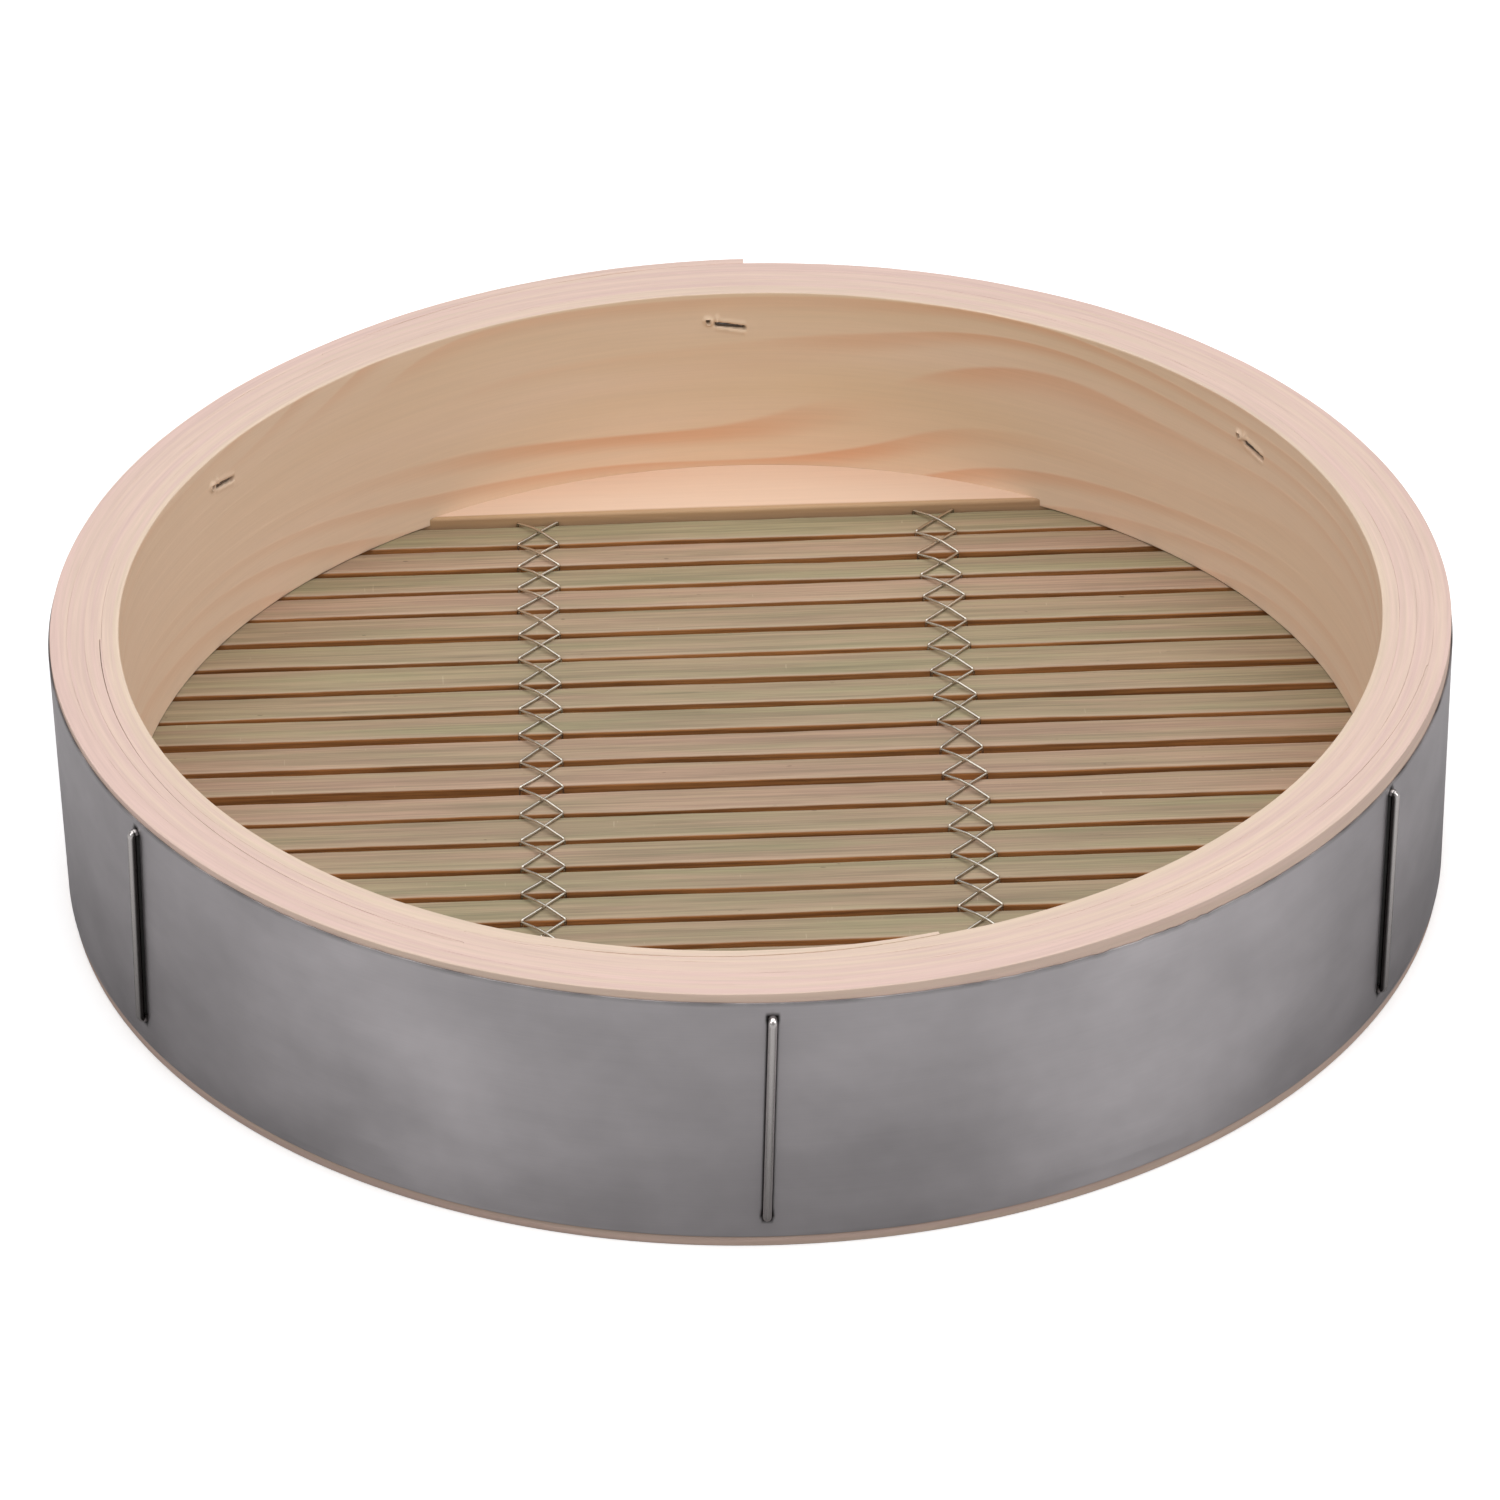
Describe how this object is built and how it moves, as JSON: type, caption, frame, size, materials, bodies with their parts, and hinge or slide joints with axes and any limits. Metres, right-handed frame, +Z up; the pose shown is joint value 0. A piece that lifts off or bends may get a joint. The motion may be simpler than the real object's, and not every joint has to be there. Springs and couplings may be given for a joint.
{
  "type": "steamer basket",
  "caption": "Round steamer tier: wound wood hoop in a steel band with wire staples, and a floor of bamboo slats lashed with wire to two crossbars.",
  "frame": {"origin": "on the hoop's axis, at the height of its lower rim", "axes": "+Z up through the tier, X along the bamboo slats, -Y towards the front staple"},
  "size_m": [0.3308, 0.3377, 0.0675],
  "materials": {
    "hoop_wood": "planed and sanded softwood, unfinished",
    "plate_wood": "planed softwood, unfinished",
    "slat_bamboo": "split bamboo, skin side up, satin",
    "crossbar_wood": "planed wood, unfinished",
    "band_steel": "satin rolled sheet",
    "staple_steel": "bright drawn wire",
    "lashing_steel": "bright drawn wire"
  },
  "bodies": {
    "root": {"liner_inner_ply": "hoop_wood", "liner_outer_ply": "hoop_wood", "hoop_inner_ply": "hoop_wood", "hoop_outer_ply": "hoop_wood", "lower_ring_inner_ply": "hoop_wood", "lower_ring_outer_ply": "hoop_wood", "steel_band": "band_steel", "staple_front": "staple_steel", "staple_front_right": "staple_steel", "staple_back_right": "staple_steel", "staple_back": "staple_steel", "staple_back_left": "staple_steel", "staple_front_left": "staple_steel", "end_plate_front": "plate_wood", "end_plate_back": "plate_wood", "crossbar_left": "crossbar_wood", "crossbar_right": "crossbar_wood", "slat_01": "slat_bamboo", "slat_02": "slat_bamboo", "slat_03": "slat_bamboo", "slat_04": "slat_bamboo", "slat_05": "slat_bamboo", "slat_06": "slat_bamboo", "slat_07": "slat_bamboo", "slat_08": "slat_bamboo", "slat_09": "slat_bamboo", "slat_10": "slat_bamboo", "slat_11": "slat_bamboo", "slat_12": "slat_bamboo", "slat_13": "slat_bamboo", "slat_14": "slat_bamboo", "slat_15": "slat_bamboo", "slat_16": "slat_bamboo", "slat_17": "slat_bamboo", "slat_18": "slat_bamboo", "slat_19": "slat_bamboo", "slat_20": "slat_bamboo", "slat_21": "slat_bamboo", "slat_22": "slat_bamboo", "lashing_left_upper": "lashing_steel", "lashing_left_lower": "lashing_steel", "lashing_right_upper": "lashing_steel", "lashing_right_lower": "lashing_steel"}
  },
  "joints": []
}
